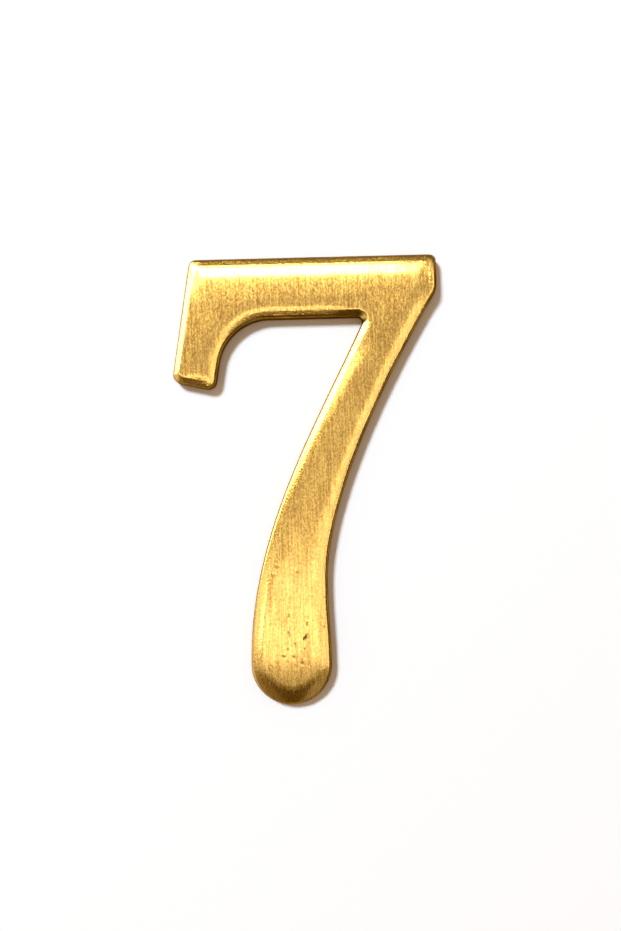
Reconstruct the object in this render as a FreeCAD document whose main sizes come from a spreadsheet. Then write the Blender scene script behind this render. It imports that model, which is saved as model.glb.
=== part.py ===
"""Brass door number: a figure seven with a rolled front edge and a flat back.

The number stands upright as it does on a door. The back lies in the XZ plane,
the front looks along -Y, +X is to the right and +Z is up. The origin is the
middle of the number's box, on the back face.
"""
import FreeCAD, Part
import math
import os
import Sketcher

# Lengths in millimetres, leans in degrees.
SIZES = {
    "height": 50.0,
    "width": 29.85,
    "thickness": 2.2,
    "end_height": 3.3,
    "end_round": 2.5,
    "arm_depth": 6.8,
    "inner_corner": 8.9,
    "inner_round": 0.5,
    "bracket_radius": 5.75,
    "serif_straight": 3.1,
    "serif_lean": 9.45,
    "serif_width": 4.8,
    "serif_fall": 1.1,
    "left_lean": 25.75,
    "left_pull": 12.1,
    "foot_pull": 14.6,
    "right_lean": 31.8,
    "right_pull": 10.2,
    "waist_pull": 9.2,
    "waist_height": 13.65,
    "waist_inset": 0.24,
    "flare_pull": 3.6,
    "foot_radius": 4.5,
    "foot_offset": 17.25,
    "roll_width": 1.3,
    "roll_depth": 0.45,
    "crown_reach": 0.75,
    "arm_corner": 0.75,
    "serif_corner": 1.05,
    "mitre_round": 3.0,
    "rim_radius": 0.5,
}

# What each size means, for the sheet.
NOTES = {
    "height": "top edge to the lowest point of the foot",
    "width": "point of the serif to the right-hand end of the arm",
    "thickness": "back face to front face",
    "end_height": "height of the straight edge at the arm's right-hand end",
    "end_round": "rounding where that edge turns into the stem",
    "arm_depth": "top edge to the underside of the arm",
    "inner_corner": "right-hand end back to the centre of the corner between arm and stem",
    "inner_round": "rounding of that corner",
    "bracket_radius": "hollow curve from the arm down into the serif",
    "serif_straight": "height of the serif's straight inner edge below that curve",
    "serif_lean": "lean of the serif's edges",
    "serif_width": "width of the serif's foot",
    "serif_fall": "how far the serif's inner corner lies below its point",
    "left_lean": "lean of the stem's left edge at the inner corner",
    "left_pull": "how far the left edge keeps that lean",
    "foot_pull": "how far the left edge stays upright above the foot",
    "right_lean": "lean of the stem's right edge at the arm",
    "right_pull": "how far the right edge keeps that lean",
    "waist_pull": "how far the right edge stays upright above the waist",
    "waist_height": "lowest point of the foot up to the waist",
    "waist_inset": "waist in from the right-hand side of the foot",
    "flare_pull": "how gently the waist swells into the foot",
    "foot_radius": "round end of the stem",
    "foot_offset": "right-hand end of the arm back to the foot's centre",
    "roll_width": "width of the bevel that the rolled edge starts from",
    "roll_depth": "depth of that bevel below the front face",
    "crown_reach": "how far the blend into the front face runs down the bevel",
    "arm_corner": "rounding of the arm's two upper corners",
    "serif_corner": "rounding of the two corners of the serif's foot",
    "mitre_round": "rounding of the rolled edge where it turns at those corners",
    "rim_radius": "rounding of the rim",
}

doc = FreeCAD.newDocument("DoorNumber")
sheet = doc.addObject("Spreadsheet::Sheet", "Sizes")
for row, (name, value) in enumerate(SIZES.items(), start=1):
    sheet.set("A%d" % row, name)
    sheet.set("B%d" % row, str(value))
    sheet.set("C%d" % row, NOTES[name])
    sheet.setAlias("B%d" % row, name)
doc.recompute()


def size(name):
    """Value of a named size, read back from the sheet."""
    return float(sheet.get(name))


body = doc.addObject("PartDesign::Body", "Body")
body.Label = "numeral"
front_plane = [plane for plane in body.Origin.OriginFeatures if plane.Role == "XZ_Plane"][0]
outline = body.newObject("Sketcher::SketchObject", "Outline")
outline.AttachmentSupport = [(front_plane, "")]
outline.MapMode = "FlatFace"


def at(x, z):
    """Point of the outline sketch: x to the right, z up."""
    return FreeCAD.Vector(x, z, 0)


def sloped(length, lean):
    """Step down an edge whose lower end leans to the left, lean in degrees from upright."""
    turn = math.radians(lean)
    return at(-length * math.sin(turn), -length * math.cos(turn))


# Corners of the figure, from which the sketch starts and which its constraints then hold.
right = size("width") / 2
top = size("height") / 2
top_right = at(right, top)
end_low = at(right, top - size("end_height"))
end_centre = end_low - at(size("end_round"), 0)
stem_top = end_centre + sloped(size("end_round"), size("right_lean") - 90)
inner_top = at(right - size("inner_corner"), top - size("arm_depth"))
inner = inner_top - at(0, size("inner_round"))
inner_low = inner + sloped(size("inner_round"), size("left_lean") - 90)
foot = at(right - size("foot_offset"), size("foot_radius") - top)
foot_left = foot - at(size("foot_radius"), 0)
foot_right = foot + at(size("foot_radius"), 0)
waist = at(foot_right.x - size("waist_inset"), size("waist_height") - top)

# The serif hangs from the bracket, which touches the underside of the arm and the serif's inner edge.
serif_slope = math.tan(math.radians(size("serif_lean")))
bracket_reach = sloped(size("bracket_radius"), size("serif_lean") - 90)
serif_inner_z = inner_top.y - size("bracket_radius") - bracket_reach.y - size("serif_straight")
serif_inner = at(size("serif_width") - right, serif_inner_z)
serif_point = serif_inner + at(-size("serif_width"), size("serif_fall"))
top_left = serif_point + at((top - serif_point.y) * serif_slope, top - serif_point.y)
bracket_low = serif_inner + at(size("serif_straight") * serif_slope, size("serif_straight"))
bracket = bracket_low + bracket_reach
bracket_top = bracket + at(0, size("bracket_radius"))

START, END, CENTRE = 1, 2, 3
ORIGIN = (-1, 1)


def line(first, last):
    return outline.addGeometry(Part.LineSegment(first, last), False)


def arc(centre, radius, first, last):
    """Arc that runs anticlockwise from one angle to another, in degrees from +X."""
    circle = Part.Circle(centre, FreeCAD.Vector(0, 0, 1), size(radius))
    turned = Part.ArcOfCircle(circle, math.radians(first), math.radians(last))
    index = outline.addGeometry(turned, False)
    held = outline.addConstraint(Sketcher.Constraint("Radius", index, size(radius)))
    outline.setExpression("Constraints[%d]" % held, "Sizes." + radius)
    return index


def curve(*poles):
    """Free curve, as its index and the places of its control points."""
    index = outline.addGeometry(Part.BSplineCurve(list(poles), None, None, False, 3, None, False), False)
    outline.exposeInternalGeometry(index)
    shown = range(index + 1, outline.GeometryCount)
    return index, [(item, CENTRE) for item in shown if outline.Geometry[item].TypeId == "Part::GeomCircle"]


def hold(kind, *where):
    outline.addConstraint(Sketcher.Constraint(kind, *[item for point in where for item in point]))


def measure(kind, first, last, formula):
    """Distance from the first point to the last, bound to the sheet."""
    step = outline.getPoint(*last) - outline.getPoint(*first)
    now = step.x if kind == "DistanceX" else step.y
    index = outline.addConstraint(Sketcher.Constraint(kind, *first, *last, now))
    outline.setExpression("Constraints[%d]" % index, formula)


top_edge = line(top_left, top_right)
end_edge = line(top_right, end_low)
end_arc = arc(end_centre, "end_round", -size("right_lean"), 0)
right_edge, right_poles = curve(
    stem_top,
    stem_top + sloped(size("right_pull"), size("right_lean")),
    waist + at(0, size("waist_pull")),
    waist,
)
flare, flare_poles = curve(
    waist,
    waist - at(0, size("flare_pull")),
    foot_right + at(0, size("flare_pull")),
    foot_right,
)
foot_arc = arc(foot, "foot_radius", 180, 360)
left_edge, left_poles = curve(
    foot_left,
    foot_left + at(0, size("foot_pull")),
    inner_low + sloped(size("left_pull"), size("left_lean")),
    inner_low,
)
inner_arc = arc(inner, "inner_round", -size("left_lean"), 90)
under_edge = line(inner_top, bracket_top)
bracket_arc = arc(bracket, "bracket_radius", 90, 180 - size("serif_lean"))
serif_in = line(bracket_low, serif_inner)
serif_foot = line(serif_inner, serif_point)
serif_left = line(serif_point, top_left)

TOP_RIGHT = (top_edge, END)
STEM_TOP = (right_edge, START)
WAIST = (flare, START)
FOOT = (foot_arc, CENTRE)
FOOT_LEFT = (foot_arc, START)
FOOT_RIGHT = (foot_arc, END)
INNER = (inner_arc, CENTRE)
INNER_LOW = (inner_arc, START)
SERIF_POINT = (serif_left, START)
SERIF_INNER = (serif_foot, START)

hold("Coincident", TOP_RIGHT, (end_edge, START))
hold("Tangent", (end_edge, END), (end_arc, END))
hold("Coincident", (end_arc, START), STEM_TOP)
hold("Coincident", (right_edge, END), WAIST)
hold("Coincident", (flare, END), FOOT_RIGHT)
hold("Coincident", FOOT_LEFT, (left_edge, START))
hold("Coincident", (left_edge, END), INNER_LOW)
hold("Tangent", (inner_arc, END), (under_edge, START))
hold("Tangent", (under_edge, END), (bracket_arc, START))
hold("Tangent", (bracket_arc, END), (serif_in, START))
hold("Coincident", (serif_in, END), SERIF_INNER)
hold("Coincident", (serif_foot, END), SERIF_POINT)
hold("Coincident", (serif_left, END), (top_edge, START))
hold("Horizontal", (top_edge,))
hold("Vertical", (end_edge,))
hold("Horizontal", (under_edge,))
hold("Parallel", (serif_in,), (serif_left,))
hold("Horizontal", FOOT, FOOT_LEFT)
hold("Horizontal", FOOT, FOOT_RIGHT)

measure("DistanceX", ORIGIN, TOP_RIGHT, "Sizes.width / 2")
measure("DistanceY", ORIGIN, TOP_RIGHT, "Sizes.height / 2")
measure("DistanceY", (end_edge, END), TOP_RIGHT, "Sizes.end_height")
measure("DistanceY", STEM_TOP, (end_edge, END), "Sizes.end_round * sin(Sizes.right_lean)")
measure("DistanceX", INNER, TOP_RIGHT, "Sizes.inner_corner")
measure("DistanceY", INNER, TOP_RIGHT, "Sizes.arm_depth + Sizes.inner_round")
measure("DistanceY", INNER_LOW, INNER, "Sizes.inner_round * sin(Sizes.left_lean)")
measure("DistanceX", SERIF_POINT, TOP_RIGHT, "Sizes.width")
measure("DistanceX", SERIF_POINT, SERIF_INNER, "Sizes.serif_width")
measure("DistanceY", SERIF_INNER, SERIF_POINT, "Sizes.serif_fall")
measure("DistanceX", SERIF_INNER, (serif_in, START), "Sizes.serif_straight * tan(Sizes.serif_lean)")
measure("DistanceY", SERIF_INNER, (serif_in, START), "Sizes.serif_straight")
measure("DistanceX", FOOT, TOP_RIGHT, "Sizes.foot_offset")
measure("DistanceY", FOOT, TOP_RIGHT, "Sizes.height - Sizes.foot_radius")
measure("DistanceX", WAIST, FOOT_RIGHT, "Sizes.waist_inset")
measure("DistanceY", WAIST, TOP_RIGHT, "Sizes.height - Sizes.waist_height")

# Each edge of the stem leaves its upper end at its lean and runs upright into the waist or the foot.
measure("DistanceX", right_poles[1], STEM_TOP, "Sizes.right_pull * sin(Sizes.right_lean)")
measure("DistanceY", right_poles[1], STEM_TOP, "Sizes.right_pull * cos(Sizes.right_lean)")
measure("DistanceX", left_poles[2], INNER_LOW, "Sizes.left_pull * sin(Sizes.left_lean)")
measure("DistanceY", left_poles[2], INNER_LOW, "Sizes.left_pull * cos(Sizes.left_lean)")
hold("Vertical", WAIST, right_poles[2])
hold("Vertical", WAIST, flare_poles[1])
hold("Vertical", FOOT_RIGHT, flare_poles[2])
hold("Vertical", FOOT_LEFT, left_poles[1])
measure("DistanceY", WAIST, right_poles[2], "Sizes.waist_pull")
measure("DistanceY", flare_poles[1], WAIST, "Sizes.flare_pull")
measure("DistanceY", FOOT_RIGHT, flare_poles[2], "Sizes.flare_pull")
measure("DistanceY", FOOT_LEFT, left_poles[1], "Sizes.foot_pull")
doc.recompute()

plate = body.newObject("PartDesign::Pad", "Plate")
plate.Profile = outline
plate.setExpression("Length", "Sizes.thickness")
doc.recompute()

# Lengths below NEAR count as nothing, and faces that turn by less than SMOOTH degrees as one.
NEAR = 0.001
SMOOTH = 1


def front_face(shape):
    """Name of the flat front face."""
    for number, face in enumerate(shape.Faces, start=1):
        if face.BoundBox.YLength < NEAR and face.BoundBox.YMax < -NEAR:
            return "Face%d" % number
    raise RuntimeError("the front face is missing")


# The rolled edge: a shallow bevel round the front, blended into the face above and over the rim below.
bevel = body.newObject("PartDesign::Chamfer", "Bevel")
bevel.Base = (plate, [front_face(plate.Shape)])
bevel.ChamferType = "Two distances"
bevel.setExpression("Size", "Sizes.roll_depth")
bevel.setExpression("Size2", "Sizes.roll_width")
doc.recompute()

crown = body.newObject("PartDesign::Fillet", "Crown")
crown.Base = (bevel, [front_face(bevel.Shape)])
crown.setExpression("Radius", "Sizes.crown_reach / tan(atan(Sizes.roll_depth / Sizes.roll_width) / 2)")
doc.recompute()


def turns(edge, faces):
    """Whether two of these faces meet in the edge at an angle, and not smoothly."""
    sides = [face for face in faces if any(edge.isSame(own) for own in face.Edges)]
    if len(sides) != 2:
        return False
    spot = edge.valueAt((edge.FirstParameter + edge.LastParameter) / 2)
    first, second = [side.normalAt(*side.Surface.parameter(spot)) for side in sides]
    return first.getAngle(second) > math.radians(SMOOTH)


def side_walls(shape):
    """The faces that rise from the back."""
    return [face for face in shape.Faces if face.BoundBox.YLength > NEAR and face.BoundBox.YMax > -NEAR]


def upright_corners(shape):
    """Names of the upright edges in which two side walls meet, the arm's and the serif's apart."""
    walls = side_walls(shape)
    found = {"arm": [], "serif": []}
    for number, edge in enumerate(shape.Edges, start=1):
        if turns(edge, walls):
            place = "arm" if edge.BoundBox.ZMin > inner_top.y else "serif"
            found[place].append("Edge%d" % number)
    return found


def mitres(shape):
    """Names of the edges in which the rolled edge turns a corner."""
    rolled = [face for face in shape.Faces if face.BoundBox.YLength > NEAR and face.BoundBox.YMax < -NEAR]
    return ["Edge%d" % number for number, edge in enumerate(shape.Edges, start=1) if turns(edge, rolled)]


def rim_edges(shape):
    """Names of the edges along the top of the side walls."""
    walls = side_walls(shape)
    names = []
    for number, edge in enumerate(shape.Edges, start=1):
        sides = [wall for wall in walls if any(edge.isSame(own) for own in wall.Edges)]
        if len(sides) == 1 and edge.BoundBox.YMax < -NEAR:
            names.append("Edge%d" % number)
    return names


def rounded(name, base, edges, radius):
    """Rounds the named edges of a feature."""
    made = body.newObject("PartDesign::Fillet", name)
    made.Base = (base, edges)
    made.setExpression("Radius", "Sizes." + radius)
    doc.recompute()
    return made


arm_corners = rounded("ArmCorners", crown, upright_corners(crown.Shape)["arm"], "arm_corner")
serif_edges = upright_corners(arm_corners.Shape)["serif"]
serif_corners = rounded("SerifCorners", arm_corners, serif_edges, "serif_corner")
turned = rounded("Mitres", serif_corners, mitres(serif_corners.Shape), "mitre_round")
rim = rounded("Rim", turned, rim_edges(turned.Shape), "rim_radius")

for item in doc.Objects:
    if "Invalid" in item.State or "Error" in item.State:
        raise RuntimeError("%s failed: %s" % (item.Name, item.State))
if outline.solve() != 0 or outline.FullyConstrained is False:
    raise RuntimeError("the outline isn't held by its sizes")
shape = body.Shape
if shape.isNull() or not shape.isValid() or len(shape.Solids) != 1:
    raise RuntimeError("the number isn't one valid solid")
steps = (plate, bevel, crown, arm_corners, serif_corners, turned, rim)
for earlier, later in zip(steps, steps[1:]):
    if not later.Shape.Volume < earlier.Shape.Volume:
        raise RuntimeError("%s took nothing off" % later.Name)

os.makedirs("parts", exist_ok=True)
shape.exportStep(os.path.join("parts", body.Label + ".step"))
print("%s: %d faces, %.1f mm3" % (body.Label, len(shape.Faces), shape.Volume))
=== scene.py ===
"""Brass door number: the looks of the figure, and a plain studio to see it in."""

import math
from collections import namedtuple

import bmesh
import bpy
from bpy.props import FloatProperty, FloatVectorProperty, IntProperty, PointerProperty
from bpy.types import Operator, Panel, PropertyGroup
from mathutils import Matrix, Vector, kdtree, noise


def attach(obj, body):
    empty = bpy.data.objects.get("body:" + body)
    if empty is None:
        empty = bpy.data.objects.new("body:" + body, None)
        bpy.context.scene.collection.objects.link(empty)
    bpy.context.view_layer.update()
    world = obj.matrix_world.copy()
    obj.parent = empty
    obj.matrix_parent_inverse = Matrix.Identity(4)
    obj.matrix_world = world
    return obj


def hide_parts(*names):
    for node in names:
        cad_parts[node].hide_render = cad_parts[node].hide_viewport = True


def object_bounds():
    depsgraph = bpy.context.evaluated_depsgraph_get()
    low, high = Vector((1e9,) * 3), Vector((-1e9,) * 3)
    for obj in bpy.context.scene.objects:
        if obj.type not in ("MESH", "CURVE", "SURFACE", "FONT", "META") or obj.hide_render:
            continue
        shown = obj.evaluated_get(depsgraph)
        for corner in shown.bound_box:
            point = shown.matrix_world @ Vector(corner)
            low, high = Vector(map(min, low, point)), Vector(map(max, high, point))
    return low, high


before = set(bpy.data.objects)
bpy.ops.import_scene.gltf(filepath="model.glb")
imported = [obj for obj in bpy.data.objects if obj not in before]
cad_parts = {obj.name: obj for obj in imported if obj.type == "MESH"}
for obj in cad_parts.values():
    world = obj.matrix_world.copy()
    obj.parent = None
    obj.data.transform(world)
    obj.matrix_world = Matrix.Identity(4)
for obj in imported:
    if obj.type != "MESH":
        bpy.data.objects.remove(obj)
CAD_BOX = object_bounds()

bl_info = {
    "name": "Brass door number",
    "version": (1, 0, 0),
    "blender": (4, 5, 0),
    "location": "3D View > Sidebar > Door number",
    "description": "Dresses a door number in brushed, lacquered brass and sets it on a white door",
    "category": "Object",
}

MM = 0.001
FRONT_Y = CAD_BOX[0].y
BACK_Y = CAD_BOX[1].y
THICKNESS = BACK_Y - FRONT_Y
UPRIGHT = Matrix.Rotation(math.pi / 2, 4, "X")

# Share by which one pass of smoothing moves a point, and the angle past which an edge looks sharp.
SMOOTHING = 0.5
SHARP_ANGLE = math.radians(60)

# Faces with more corners than the even grid gives, such as the one that closes the back, stay flat.
GRID_CORNERS = 4

# Inset that the rim takes up, and the length of the slow waves that polishing has left.
RIM_WIDTH = 0.3 * MM
RIPPLE_LENGTH = 3.5 * MM

# Share of its own reach over which the fall to the top edge and to the foot starts softly.
TOP_SOFTNESS = 0.4
FOOT_SOFTNESS = 0.3

# How squarely points face the front, from the dark rim, which is partly painted shade, to the face,
# and on to the brushed flat.
RIM_FACING = (0.74, 0.94)
BRUSHED_FACING = (0.94, 0.985)
EDGE_BRUSHED = 0.4

# Upper edges that face left, toward the light, are painted bright as a highlight: how far to the
# left they face, how high they lie, and the least tilt that counts in full.
HIGHLIGHT_FACING = (0.35, 0.85)
HIGHLIGHT_HEIGHT = (0.6, 0.8)
LEAST_TILT = 0.1

# Points that face the front less than this lie on the back, whose shares of dull rim, brush lines,
# dirt and painted shade, and knocks follow.
BACK_FACING = -0.3
BACK_SHARES = (0.35, 0.7, 0, 0)

# Knocks: their share on all the front edges with the insets over which it fades, and the distances
# from the end of the serif over which they fade there.
EDGE_WEAR = 0.35
EDGE_WEAR_INSETS = (0.6 * MM, 1.3 * MM)
SERIF_END = Vector((-13.2 * MM, 8.6 * MM))
SERIF_WEAR_REACH = (1 * MM, 5.5 * MM)

# A mark in the face: the two ends and the reach of its line, in millimetres, and its strength.
Mark = namedtuple("Mark", "first_x first_z last_x last_z reach strength")

# A stretch of narrower bevel: the same, with the insets between which it rises to the face.
Narrowing = namedtuple("Narrowing", (*Mark._fields, "rise_from", "rise_to"))

MARKS_AND_CORNER_SHADE = (
    Mark(-1.47, -9.96, -1.47, -10.05, 0.18, 0.60),
    Mark(-3.78, -9.23, -3.70, -9.38, 0.20, 0.60),
    Mark(-4.03, -10.23, -4.03, -10.30, 0.18, 0.57),
    Mark(-2.48, -14.82, -2.46, -14.90, 0.18, 0.70),
    Mark(-0.37, -15.09, -0.37, -15.16, 0.16, 0.60),
    Mark(-0.50, -15.80, -0.48, -15.90, 0.18, 0.75),
    Mark(1.29, -15.24, 1.29, -15.34, 0.16, 0.57),
    Mark(1.49, -16.25, 1.45, -16.32, 0.18, 0.57),
    Mark(-2.62, -16.80, -2.44, -17.10, 0.20, 0.60),
    Mark(-0.93, -17.55, -0.60, -17.27, 0.13, 1.20),
    Mark(-0.58, -17.22, -0.52, -17.06, 0.12, 0.85),
    Mark(-1.92, -18.06, -1.83, -18.34, 0.20, 0.60),
    Mark(-2.68, -18.66, -2.68, -18.84, 0.17, 0.56),
    Mark(-3.30, -19.44, -3.08, -19.52, 0.18, 0.62),
    Mark(-2.04, -19.50, -2.00, -19.74, 0.18, 0.60),
    Mark(-0.82, -18.60, -0.86, -19.66, 0.13, 0.62),
    Mark(-1.17, -20.19, -1.12, -20.40, 0.17, 0.56),
    Mark(-4.27, -6.56, -4.22, -6.66, 0.20, 0.80),
    Mark(1.72, -12.85, 1.66, -13.05, 0.24, 0.85),
    # Not a pit: painted shade, a dark spot in the inner corner under the arm, which also dents the
    # face a little.
    Mark(6.72, 17.70, 6.60, 17.62, 0.45, 1.15),
)

# The inner corner, the right end and the left side of the serif.
NARROWED = (
    Narrowing(6.62, 17.62, 6.62, 17.62, 4.2, 1, 0.3, 0.75),
    Narrowing(14.9, 22.5, 14.75, 20.9, 2.8, 1, 0.06, 0.4),
    Narrowing(-13.6, 21.3, -14.7, 10.5, 3.0, 1, 0.3, 0.75),
)

# Repeats a metre of the brush lines, the grain, the cloudy patches and the knocks, and the detail
# of the first three and of the knocks.
LINE_SCALE = (5000, 5000, 240)
GRAIN_SCALE = (5800, 5800, 3900)
CLOUD_SCALE = 450
KNOCK_SCALE = 4600
FINE_DETAIL = 2
KNOCK_DETAIL = 1

# How lines and clouds weigh against the grain, the values between which streaks run from dark to
# bright, and the even tone of edges that aren't brushed.
LINE_WEIGHT = 0.9
CLOUD_WEIGHT = 0.1
TONE_ENDS = (0.74, 1.26)
EDGE_TONE = 0.45

# Values between which tarnish turns to rim colour, a mark turns brown, and dirt fills it, which in
# the inner corner is painted shade. The grain makes the outline of a mark ragged.
TARNISH_ENDS = (0.35, 0.65)
BROWN_ENDS = (0.50, 0.85)
DIRT_AND_SHADE_ENDS = (0.85, 1.10)
RAGGEDNESS = 0.5

# Change of roughness with the grain, the lacquer on the face, and the tint of metal seen edge on.
GRAIN_ENDS = (0.3, 0.7)
ROUGHNESS_CHANGE = 0.02
LACQUER = 0.7
LACQUER_ROUGHNESS = 0.12
EDGE_TINT = (0.4, 0.24, 0.08, 1)

# Reflectors and cards stand this far in front of the door, and the door reaches this far each way.
LIGHT_DISTANCE = 1.5
DOOR_REACH = 1.5

# Reflectors, seen only in the brass: the slopes of their left, right, lower and upper sides as seen
# from the number, and their brightness.
REFLECTORS = {
    "window": (-0.3, 0.12, 0.335, 0.92, 10),
    "window_sill": (-0.3, 0.12, 0.275, 0.335, 4),
    "window_left": (-0.92, -0.3, 0.4, 0.92, 13),
    "window_far": (-6, -1.2, 0.4, 3.5, 8),
    "near_left": (-0.82, -0.52, 0.3, 0.4, 2.5),
    "left_wall": (-1.4, -0.62, -0.22, 0.12, 1.0),
    "low_left": (-0.60, -0.50, -0.18, -0.07, 8),
    "right_wall": (0.44, 0.95, -0.45, 0.5, 0.9),
}

# One reflector stands nearer, so that the foot shows it where the arm doesn't.
BOUNCE = (-0.4, 0.4, -0.32, -0.13, 1.4)
BOUNCE_DISTANCE = 270 * MM

# Cards, placed in the same way and seen only in the brass: pale ones in front, with darker ones
# round them.
CARDS = {
    "card_front": (-0.4, 0.4, -0.40, 0.11, "plain"),
    "card_upper": (-0.4, 0.4, 0.11, 0.275, "dim"),
    "card_left": (-1.6, -0.4, 0.12, 0.3, "deep"),
    "card_lower": (-0.75, 1.0, -0.48, -0.40, "shade"),
    "card_deep": (-0.28, 0.25, -0.56, -0.48, "deep"),
    "card_below": (-0.28, 0.25, -6, -0.56, "dark"),
    "card_corner": (-0.8, -0.28, -6, -0.48, "deep"),
    "card_low_left": (-1.6, -0.8, -6, -0.36, "shade"),
    "card_side": (0.25, 1.0, -6, -0.48, "shade"),
    "card_right": (1.0, 6, -6, 1.0, "dark"),
    "card_above": (-1.2, 6, 1.0, 8, "olive"),
}
CARD_COLOURS = {
    "plain": (0.88, 0.87, 0.83, 1),
    "dim": (0.52, 0.51, 0.48, 1),
    "shade": (0.42, 0.38, 0.30, 1),
    "olive": (0.22, 0.20, 0.15, 1),
    "deep": (0.26, 0.20, 0.10, 1),
    "dark": (0.11, 0.068, 0.01, 1),
}

# The key light falls on the door alone. It is small, so it is bright, and the door comes out white.
KEY_LIGHT = (-0.63, -0.37, 0.42, 0.68, 96)
KEY_COLOUR = (0.77, 0.89, 1)

WHITE = (1, 1, 1, 1)
SENSOR_WIDTH = 36
NEAREST_SEEN = 1 * MM


class NumeralSettings(PropertyGroup):
    """Shape of the worked brass, over the plain figure."""

    grid: FloatProperty(
        name="Grid",
        description="Spacing of the points on the worked surface",
        default=0.11 * MM,
        unit="LENGTH",
    )
    easing: IntProperty(
        name="Easing",
        description="Passes that ease the edges of the figure",
        default=6,
    )
    polish: IntProperty(
        name="Polish",
        description="Passes that round the face over to its edges",
        default=20,
    )
    top_fall: FloatProperty(
        name="Top fall",
        description="How steeply the face falls away to the top edge",
        default=math.radians(3.0),
        subtype="ANGLE",
    )
    top_reach: FloatProperty(
        name="Top reach",
        description="How far below the top edge that fall starts",
        default=2.2 * MM,
        unit="LENGTH",
    )
    foot_fall: FloatProperty(
        name="Foot fall",
        description="How steeply the face falls away to the foot",
        default=math.radians(6.5),
        subtype="ANGLE",
    )
    foot_reach: FloatProperty(
        name="Foot reach",
        description="How far above the foot that fall starts",
        default=3.8 * MM,
        unit="LENGTH",
    )
    ripple: FloatProperty(
        name="Ripple",
        description="Height of the slow waves left by polishing",
        default=0.012 * MM,
        unit="LENGTH",
    )
    mark_depth: FloatProperty(
        name="Mark depth",
        description="Depth of the pits and scratches in the face",
        default=0.06 * MM,
        unit="LENGTH",
    )


class BrassSettings(PropertyGroup):
    """Finish of the brass."""

    colour: FloatVectorProperty(
        name="Brass",
        description="Colour of the brightest grain of the brushed face",
        subtype="COLOR",
        size=4,
        min=0,
        max=1,
        default=(0.95, 0.585, 0.132, 1),
    )
    streak_colour: FloatVectorProperty(
        name="Streaks",
        description="Colour of the darkest grain and streaks",
        subtype="COLOR",
        size=4,
        min=0,
        max=1,
        default=(0.48, 0.235, 0.034, 1),
    )
    # The rim colour is partly the dull, unbrushed walls and partly painted shade on rims and walls
    # that face away from the light.
    rim_colour: FloatVectorProperty(
        name="Rim",
        description="Colour of the unbrushed side walls",
        subtype="COLOR",
        size=4,
        min=0,
        max=1,
        default=(0.29, 0.165, 0.024, 1),
    )
    tarnish_colour: FloatVectorProperty(
        name="Tarnish",
        description="Colour of the darker patches on the side walls",
        subtype="COLOR",
        size=4,
        min=0,
        max=1,
        default=(0.17, 0.095, 0.014, 1),
    )
    # Colour of the dirt in the pits, and of the shade painted into the inner corner.
    dirt_colour: FloatVectorProperty(
        name="Dirt",
        description="Colour of what has settled in pits and corners",
        subtype="COLOR",
        size=4,
        min=0,
        max=1,
        default=(0.02, 0.01, 0.003, 1),
    )
    roughness: FloatProperty(
        name="Roughness",
        description="Roughness of the brushed face",
        default=0.18,
        subtype="FACTOR",
        min=0,
        max=1,
    )
    knock_depth: FloatProperty(
        name="Knocks",
        description="Depth of the small knocks on worn edges",
        default=0.045 * MM,
        unit="LENGTH",
    )
    relief: FloatProperty(
        name="Brush relief",
        description="Depth of the brush lines",
        default=0.010 * MM,
        unit="LENGTH",
    )


class StageSettings(PropertyGroup):
    """Door, light and camera."""

    distance: FloatProperty(
        name="Camera distance",
        description="From the camera to the back of the number",
        default=113.2 * MM,
        unit="LENGTH",
    )
    view_angle: FloatProperty(
        name="Angle of view",
        description="Angle of view over the height of the picture",
        default=math.radians(49.92),
        subtype="ANGLE",
    )
    roll: FloatProperty(
        name="Roll",
        description="Turn of the camera about its own axis",
        default=math.radians(1.437),
        subtype="ANGLE",
    )
    aim: FloatVectorProperty(
        name="Aim",
        description="Point of the door in the middle of the picture",
        subtype="TRANSLATION",
        default=(0.326 * MM, 0, 1.71 * MM),
    )
    door_colour: FloatVectorProperty(
        name="Door",
        description="Colour of the painted door behind the number",
        subtype="COLOR",
        size=4,
        min=0,
        max=1,
        default=(0.95, 0.95, 0.95, 1),
    )
    shade_colour: FloatVectorProperty(
        name="Shade",
        description="Colour of the light that fills the shadow",
        subtype="COLOR",
        size=4,
        min=0,
        max=1,
        default=(0.44, 0.31, 0.21, 1),
    )


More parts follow.
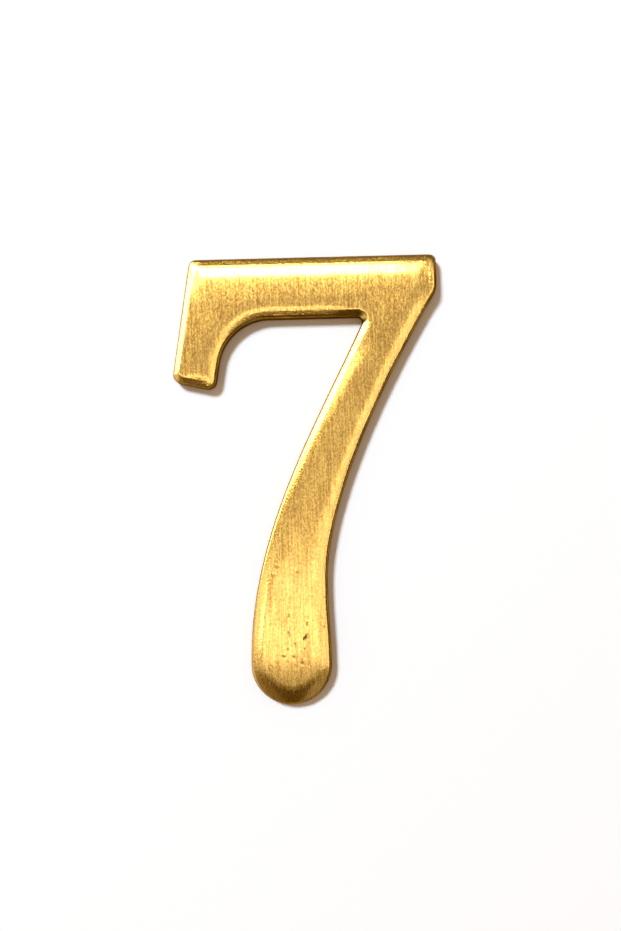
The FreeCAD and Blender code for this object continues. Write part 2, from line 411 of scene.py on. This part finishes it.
class Nodes:
    """Short way to add and join the nodes of one material or world."""

    def __init__(self, owner):
        owner.use_nodes = True
        self.tree = owner.node_tree
        self.tree.nodes.clear()

    def add(self, kind, inputs=None, **settings):
        made = self.tree.nodes.new(kind)
        for name, value in settings.items():
            setattr(made, name, value)
        for name, value in (inputs or {}).items():
            self.feed(made, name, value)
        return made

    def feed(self, node, name, value):
        if isinstance(value, bpy.types.NodeSocket):
            self.tree.links.new(value, node.inputs[name])
        else:
            node.inputs[name].default_value = value

    def attribute(self, name):
        """What the mesh notes under that name at each point."""
        return self.add("ShaderNodeAttribute", attribute_name=name).outputs["Fac"]

    def even_noise(self, place, scale, detail):
        """Noise that is alike in all directions."""
        made = self.add("ShaderNodeTexNoise", {"Vector": place, "Scale": scale, "Detail": detail})
        return made.outputs["Fac"]

    def drawn_noise(self, place, scale, detail):
        """Noise with a scale of its own in each direction."""
        drawn = self.add("ShaderNodeMapping", {"Vector": place, "Scale": scale})
        return self.even_noise(drawn.outputs[0], 1, detail)

    def spread(self, value, ends, start=0, end=1):
        """Runs from start to end while the value runs between its own ends."""
        span = {"From Min": ends[0], "From Max": ends[1], "To Min": start, "To Max": end}
        return self.add("ShaderNodeMapRange", {"Value": value, **span}).outputs[0]

    def weighted(self, first, weight, second):
        """The first value times its weight, plus the second."""
        inputs = {0: first, 1: weight, 2: second}
        return self.add("ShaderNodeMath", inputs, operation="MULTIPLY_ADD").outputs[0]

    def greater(self, first, second):
        """The greater of two values."""
        return self.add("ShaderNodeMath", {0: first, 1: second}, operation="MAXIMUM").outputs[0]

    def between(self, share, first, second):
        """A value that lies by that share between two others."""
        inputs = {"Factor": share, 2: first, 3: second}
        return self.add("ShaderNodeMix", inputs, data_type="FLOAT").outputs[0]

    def mixed(self, share, first, second):
        """A colour that lies by that share between two others."""
        inputs = {"Factor": share, 6: first, 7: second}
        return self.add("ShaderNodeMix", inputs, data_type="RGBA").outputs[2]


def smooth_step(low, high, value):
    """Runs softly from nothing at the low value to one at the high value."""
    share = min(max((value - low) / (high - low), 0), 1)
    return share * share * (3 - 2 * share)


def soft_ramp(past, softness):
    """Rises from nothing before zero to the length itself after it, with a soft start."""
    return softness * math.log(1 + math.exp(past / softness))


def mark_share(spot, mark):
    """Strength of a mark on its line, falling to nothing at its reach."""
    first = Vector((mark.first_x * MM, 0, mark.first_z * MM))
    last = Vector((mark.last_x * MM, 0, mark.last_z * MM))
    near = spot - first
    if last != first:
        along = last - first
        near -= along * min(max(near.dot(along) / along.length_squared, 0), 1)
    return max(1 - near.length / (mark.reach * MM), 0) * mark.strength


def link_mesh(name, bm):
    """Object of that name made from a bmesh, in the scene."""
    mesh = bpy.data.meshes.new(name)
    bm.to_mesh(mesh)
    bm.free()
    made = bpy.data.objects.new(name, mesh)
    bpy.context.scene.collection.objects.link(made)
    return made


def even_copy(node, grid):
    """Mesh of a CAD node's form with evenly spread points."""
    bm = bmesh.new()
    bm.from_mesh(node.data)
    bmesh.ops.remove_doubles(bm, verts=bm.verts, dist=grid / 100)
    blank = link_mesh("numeral_blank", bm)
    spread = blank.modifiers.new("Even grid", "REMESH")
    spread.mode = "VOXEL"
    spread.voxel_size = grid
    depsgraph = bpy.context.evaluated_depsgraph_get()
    mesh = bpy.data.meshes.new_from_object(blank.evaluated_get(depsgraph))
    bpy.data.objects.remove(blank)
    return mesh


def square_back(bm, grid):
    """Cuts the back off flat and closes it with one face, whose outline is given back."""
    cut = bmesh.ops.bisect_plane(
        bm,
        geom=bm.verts[:] + bm.edges[:] + bm.faces[:],
        plane_co=(0, BACK_Y - grid / 2, 0),
        plane_no=(0, 1, 0),
        clear_outer=True,
    )["geom_cut"]
    corners = [item for item in cut if isinstance(item, bmesh.types.BMVert)]
    outline = [item for item in cut if isinstance(item, bmesh.types.BMEdge)]
    bmesh.ops.translate(bm, verts=corners, vec=(0, grid / 2, 0))
    bmesh.ops.contextual_create(bm, geom=outline)
    return outline


def ease_edges(bm, settings):
    """Smooths out the steps of the even grid. Points on the back stay on it."""
    lowest = BACK_Y - settings.grid / 4
    seated = [vert for vert in bm.verts if vert.co.y > lowest]
    rising = [vert for vert in bm.verts if vert.co.y < lowest]
    sideways = {"factor": SMOOTHING, "use_axis_x": True, "use_axis_z": True}
    for _ in range(settings.easing):
        bmesh.ops.smooth_vert(bm, verts=seated, **sideways)
        bmesh.ops.smooth_vert(bm, verts=rising, use_axis_y=True, **sideways)


def note_insets(bm, outline, inset):
    """Notes how far each point lies inside the outline, seen from the front."""
    edge = kdtree.KDTree(len(outline))
    for number, item in enumerate(outline):
        edge.insert(item.verts[0].co, number)
    edge.balance()
    for vert in bm.verts:
        vert[inset] = edge.find((vert.co.x, BACK_Y, vert.co.z))[2]


def narrow_bevel(bm, inset):
    """Narrows the bevel where the brass is worked closer to its edge."""
    for vert in bm.verts:
        spot = Vector((vert.co.x, 0, vert.co.z))
        for line in NARROWED:
            share = smooth_step(0, 1, mark_share(spot, line))
            share *= smooth_step(line.rise_from * MM, line.rise_to * MM, vert[inset])
            vert.co.y += (FRONT_Y - vert.co.y) * share


def roll_face(bm, inset, settings):
    """Lets the face fall away to the top edge and to the foot, and polishes it."""
    low = CAD_BOX[0].z + settings.foot_reach
    high = CAD_BOX[1].z - settings.top_reach
    low_softness = FOOT_SOFTNESS * settings.foot_reach
    high_softness = TOP_SOFTNESS * settings.top_reach
    for vert in bm.verts:
        lift = (BACK_Y - vert.co.y) / THICKNESS
        drop = math.tan(settings.top_fall) * soft_ramp(vert.co.z - high, high_softness)
        drop += math.tan(settings.foot_fall) * soft_ramp(low - vert.co.z, low_softness)
        vert.co.y += drop * lift
    face = [vert for vert in bm.verts if vert[inset] > RIM_WIDTH]
    for _ in range(settings.polish):
        bmesh.ops.smooth_vert(bm, verts=face, factor=SMOOTHING, use_axis_y=True)


def finish_shares(vert, inset):
    """Shares of dark rim (partly painted shade, kept off upper edges facing left as a painted
    highlight), brush lines, dirt and painted corner shade, and knocks at one point.
    """
    front = -vert.normal.y
    if front < BACK_FACING:
        return BACK_SHARES
    facing = Vector((vert.normal.x, vert.normal.z))
    # Painted highlight: upper edges facing left, toward the light, are kept free of the dark rim
    # colour.
    painted_highlight = smooth_step(*HIGHLIGHT_FACING, -facing.x / max(facing.length, LEAST_TILT))
    painted_highlight *= smooth_step(*HIGHLIGHT_HEIGHT, (BACK_Y - vert.co.y) / THICKNESS)
    rim = (1 - smooth_step(*RIM_FACING, front)) * (1 - painted_highlight)
    brushed = EDGE_BRUSHED + (1 - EDGE_BRUSHED) * smooth_step(*BRUSHED_FACING, front)
    spot = Vector((vert.co.x, 0, vert.co.z))
    # Dirt in the marks, and painted shade in the inner corner.
    dirt = max(mark_share(spot, mark) for mark in MARKS_AND_CORNER_SHADE)
    away = (spot.xz - SERIF_END).length
    edge_wear = EDGE_WEAR * (1 - smooth_step(*EDGE_WEAR_INSETS, vert[inset]))
    serif_wear = 1 - smooth_step(*SERIF_WEAR_REACH, away)
    return rim, brushed, dirt, max(edge_wear, serif_wear)


def wear_face(bm, inset, noted, settings):
    """Notes the finish of each point, painted shade and highlight among it, and gives the face its
    slow waves and its marks.
    """
    bm.normal_update()
    for vert in bm.verts:
        shares = finish_shares(vert, inset)
        for layer, share in zip(noted, shares):
            vert[layer] = share
        if vert[inset] > RIM_WIDTH:
            spot = Vector((vert.co.x, 0, vert.co.z))
            dirt = shares[2]
            vert.co.y += settings.ripple * (1 + noise.noise(spot / RIPPLE_LENGTH))
            vert.co.y += settings.mark_depth * smooth_step(0, 1, dirt)


def keep_inside(bm):
    """Brings points that the even grid has put a hair outside the CAD box back to its sides."""
    lowest, highest = CAD_BOX
    for vert in bm.verts:
        for axis in range(3):
            vert.co[axis] = min(max(vert.co[axis], lowest[axis]), highest[axis])


def make_numeral(settings):
    """The figure in worked brass: the CAD form with eased edges, a crowned face and its pits."""
    bm = bmesh.new()
    bm.from_mesh(even_copy(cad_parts["numeral"], settings.grid))
    layers = bm.verts.layers.float
    inset, *noted = [layers.new(name) for name in ("inset", "rim", "brushed", "dirt", "worn")]
    outline = square_back(bm, settings.grid)
    ease_edges(bm, settings)
    note_insets(bm, outline, inset)
    narrow_bevel(bm, inset)
    roll_face(bm, inset, settings)
    wear_face(bm, inset, noted, settings)
    keep_inside(bm)
    bmesh.ops.recalc_face_normals(bm, faces=bm.faces)
    for face in bm.faces:
        face.smooth = len(face.verts) <= GRID_CORNERS
    piece = link_mesh("brass_numeral", bm)
    piece.data.set_sharp_from_angle(angle=SHARP_ANGLE)
    return piece


def brass_colour(nodes, settings, lines, grain, cloud):
    """Colour of the brass: streaks on the face, tarnish and painted shade on the walls and rims, a
    painted highlight on upper edges facing left, dirt in the marks and painted shade in the inner
    corner.
    """
    streaks = nodes.weighted(lines, LINE_WEIGHT, grain)
    tone = nodes.spread(nodes.weighted(cloud, CLOUD_WEIGHT, streaks), TONE_ENDS)
    worked = nodes.between(nodes.attribute("brushed"), EDGE_TONE, tone)
    face = nodes.mixed(worked, settings.streak_colour, settings.colour)
    patches = nodes.spread(cloud, TARNISH_ENDS)
    walls = nodes.mixed(patches, settings.tarnish_colour, settings.rim_colour)
    # The dark rim colour is partly painted shade; upper edges facing left are kept bright as a
    # painted highlight.
    clean = nodes.mixed(nodes.attribute("rim"), face, walls)
    ragged = nodes.weighted(grain, RAGGEDNESS, nodes.attribute("dirt"))
    browned = nodes.mixed(nodes.spread(ragged, BROWN_ENDS), clean, settings.rim_colour)
    # Dirt fills the marks, and paints shade into the inner corner.
    return nodes.mixed(nodes.spread(ragged, DIRT_AND_SHADE_ENDS), browned, settings.dirt_colour)


def brass_relief(nodes, settings, place, lines):
    """Normal of the brass: brush lines over the small knocks of worn edges."""
    knocked = nodes.add(
        "ShaderNodeBump",
        {
            "Height": nodes.even_noise(place, KNOCK_SCALE, KNOCK_DETAIL),
            "Strength": nodes.attribute("worn"),
            "Distance": settings.knock_depth,
        },
    )
    brushed = nodes.add(
        "ShaderNodeBump",
        {
            "Height": lines,
            "Strength": nodes.attribute("brushed"),
            "Distance": settings.relief,
            "Normal": knocked.outputs[0],
        },
    )
    return brushed.outputs[0]


def brushed_brass(settings):
    """Brass brushed upright and lacquered, with dull side walls darkened as painted shade, a
    painted highlight on upper edges facing left, dirt in its pits and painted shade in the inner
    corner.
    """
    material = bpy.data.materials.new("brushed_brass")
    nodes = Nodes(material)
    place = nodes.add("ShaderNodeTexCoord").outputs["Object"]
    lines = nodes.drawn_noise(place, LINE_SCALE, FINE_DETAIL)
    grain = nodes.drawn_noise(place, GRAIN_SCALE, FINE_DETAIL)
    cloud = nodes.even_noise(place, CLOUD_SCALE, FINE_DETAIL)
    smoothest = settings.roughness - ROUGHNESS_CHANGE
    roughest = settings.roughness + ROUGHNESS_CHANGE
    shader = nodes.add(
        "ShaderNodeBsdfPrincipled",
        {
            "Base Color": brass_colour(nodes, settings, lines, grain, cloud),
            "Metallic": 1,
            "Roughness": nodes.spread(grain, GRAIN_ENDS, smoothest, roughest),
            "Normal": brass_relief(nodes, settings, place, lines),
            "Specular Tint": EDGE_TINT,
            "Coat Weight": nodes.spread(nodes.attribute("rim"), (0, 1), LACQUER, 0),
            "Coat Roughness": LACQUER_ROUGHNESS,
        },
    )
    nodes.add("ShaderNodeOutputMaterial", {"Surface": shader.outputs[0]})
    return material


def make_door(numeral, settings):
    """White door face that leaves the number's outline open, so that its back shows from behind."""
    bm = bmesh.new()
    bm.from_mesh(numeral.data)
    back = max(bm.faces, key=lambda face: len(face.verts))
    kept = set(back.edges)
    bmesh.ops.delete(bm, geom=[edge for edge in bm.edges if edge not in kept], context="EDGES")
    bmesh.ops.delete(bm, geom=bm.faces[:], context="FACES_ONLY")
    bmesh.ops.create_grid(bm, x_segments=1, y_segments=1, size=DOOR_REACH, matrix=UPRIGHT)
    bmesh.ops.delete(bm, geom=bm.faces[:], context="FACES_ONLY")
    bmesh.ops.triangle_fill(
        bm,
        edges=bm.edges[:],
        use_beauty=True,
        use_dissolve=False,
        normal=(0, -1, 0),
    )
    door = link_mesh("door_face", bm)
    door.visible_shadow = False
    material = bpy.data.materials.new("white_door")
    nodes = Nodes(material)
    paint = nodes.add("ShaderNodeBsdfDiffuse", {"Color": settings.door_colour}).outputs[0]
    clear = nodes.add("ShaderNodeBsdfTransparent").outputs[0]
    behind = nodes.add("ShaderNodeNewGeometry").outputs["Backfacing"]
    mixed = nodes.add("ShaderNodeMixShader", {0: behind, 1: paint, 2: clear})
    nodes.add("ShaderNodeOutputMaterial", {"Surface": mixed.outputs[0]})
    door.data.materials.append(material)


def make_softbox(name, left, right, low, high, brightness, distance=LIGHT_DISTANCE):
    """Area light that faces the door. Its sides are slopes as seen from the number."""
    width = (right - left) * distance
    height = (high - low) * distance
    lamp = bpy.data.lights.new(name, "AREA")
    lamp.shape = "RECTANGLE"
    lamp.size = width
    lamp.size_y = height
    lamp.energy = brightness * math.pi * width * height
    box = bpy.data.objects.new(name, lamp)
    box.location = Vector(((left + right) / 2, -1, (low + high) / 2)) * distance
    box.rotation_euler = UPRIGHT.to_euler()
    box.visible_camera = False
    bpy.context.scene.collection.objects.link(box)
    return box


def make_card(name, left, right, low, high, colour):
    """Card placed as a softbox is, which shows only in reflections."""
    bm = bmesh.new()
    bmesh.ops.create_grid(bm, x_segments=1, y_segments=1, size=0.5, matrix=UPRIGHT)
    bmesh.ops.scale(bm, verts=bm.verts, vec=(right - left, 1, high - low))
    bmesh.ops.translate(bm, verts=bm.verts, vec=((left + right) / 2, -1, (low + high) / 2))
    bmesh.ops.scale(bm, verts=bm.verts, vec=(LIGHT_DISTANCE,) * 3)
    card = link_mesh(name, bm)
    card.visible_camera = False
    card.visible_diffuse = False
    card.visible_shadow = False
    material = bpy.data.materials.new(name)
    nodes = Nodes(material)
    glow = nodes.add("ShaderNodeEmission", {"Color": colour, "Strength": 1})
    nodes.add("ShaderNodeOutputMaterial", {"Surface": glow.outputs[0]})
    card.data.materials.append(material)


def make_lights():
    """Key light for the door, and the reflectors and cards that the brass shows."""
    key = make_softbox("key", *KEY_LIGHT)
    key.data.color = KEY_COLOUR
    key.visible_glossy = False
    for name, sides_and_brightness in REFLECTORS.items():
        make_softbox(name, *sides_and_brightness).visible_diffuse = False
    make_softbox("bounce", *BOUNCE, BOUNCE_DISTANCE).visible_diffuse = False
    for name, (*sides, tone) in CARDS.items():
        make_card(name, *sides, CARD_COLOURS[tone])


def make_world(settings):
    """White surroundings to the eye and in reflections, with a weaker warm light in the shade."""
    world = bpy.data.worlds.new("studio")
    nodes = Nodes(world)
    path = nodes.add("ShaderNodeLightPath").outputs
    seen = nodes.greater(path["Is Camera Ray"], path["Is Glossy Ray"])
    seen = nodes.greater(seen, path["Is Transmission Ray"])
    shade = nodes.add("ShaderNodeBackground", {"Color": settings.shade_colour, "Strength": 1})
    white = nodes.add("ShaderNodeBackground", {"Color": WHITE, "Strength": 1})
    mixed = nodes.add("ShaderNodeMixShader", {0: seen, 1: shade.outputs[0], 2: white.outputs[0]})
    nodes.add("ShaderNodeOutputWorld", {"Surface": mixed.outputs[0]})
    bpy.context.scene.world = world


def make_camera(settings):
    """Camera straight in front of the number, turned a little about its own axis."""
    lens = bpy.data.cameras.new("camera")
    lens.sensor_width = SENSOR_WIDTH
    lens.lens = SENSOR_WIDTH / 2 / math.tan(settings.view_angle / 2)
    lens.clip_start = NEAREST_SEEN
    camera = bpy.data.objects.new("camera", lens)
    camera.location = Vector(settings.aim) - Vector((0, settings.distance, 0))
    camera.rotation_euler = (Matrix.Rotation(settings.roll, 4, "Y") @ UPRIGHT).to_euler()
    bpy.context.scene.collection.objects.link(camera)
    bpy.context.scene.camera = camera


class DOOR_NUMBER_OT_numeral(Operator):
    """Make the brass figure and give it its finish"""

    bl_idname = "door_number.numeral"
    bl_label = "Make the numeral"

    def execute(self, context):
        piece = make_numeral(context.scene.door_numeral)
        piece.data.materials.append(brushed_brass(context.scene.door_brass))
        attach(piece, "root")
        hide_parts("numeral")
        return {"FINISHED"}


class DOOR_NUMBER_OT_stage(Operator):
    """Make the door face, the light and the camera"""

    bl_idname = "door_number.stage"
    bl_label = "Make the stage"

    def execute(self, context):
        settings = context.scene.door_stage
        make_door(context.scene.objects["brass_numeral"], settings)
        make_world(settings)
        make_lights()
        make_camera(settings)
        context.scene.view_settings.view_transform = "Standard"
        return {"FINISHED"}


class DOOR_NUMBER_PT_panel(Panel):
    """Door number"""

    bl_label = "Door number"
    bl_idname = "DOOR_NUMBER_PT_panel"
    bl_space_type = "VIEW_3D"
    bl_region_type = "UI"
    bl_category = "Door number"

    def draw(self, context):
        scene = context.scene
        for settings in (scene.door_numeral, scene.door_brass, scene.door_stage):
            box = self.layout.box()
            for name in settings.__annotations__:
                box.prop(settings, name)
        self.layout.operator(DOOR_NUMBER_OT_numeral.bl_idname)
        self.layout.operator(DOOR_NUMBER_OT_stage.bl_idname)


CLASSES = (
    NumeralSettings,
    BrassSettings,
    StageSettings,
    DOOR_NUMBER_OT_numeral,
    DOOR_NUMBER_OT_stage,
    DOOR_NUMBER_PT_panel,
)


def register():
    for item in CLASSES:
        bpy.utils.register_class(item)
    bpy.types.Scene.door_numeral = PointerProperty(type=NumeralSettings)
    bpy.types.Scene.door_brass = PointerProperty(type=BrassSettings)
    bpy.types.Scene.door_stage = PointerProperty(type=StageSettings)


def unregister():
    del bpy.types.Scene.door_stage
    del bpy.types.Scene.door_brass
    del bpy.types.Scene.door_numeral
    for item in reversed(CLASSES):
        bpy.utils.unregister_class(item)


def main():
    register()
    bpy.ops.door_number.numeral()
    bpy.ops.door_number.stage()


if __name__ == "__main__":
    main()
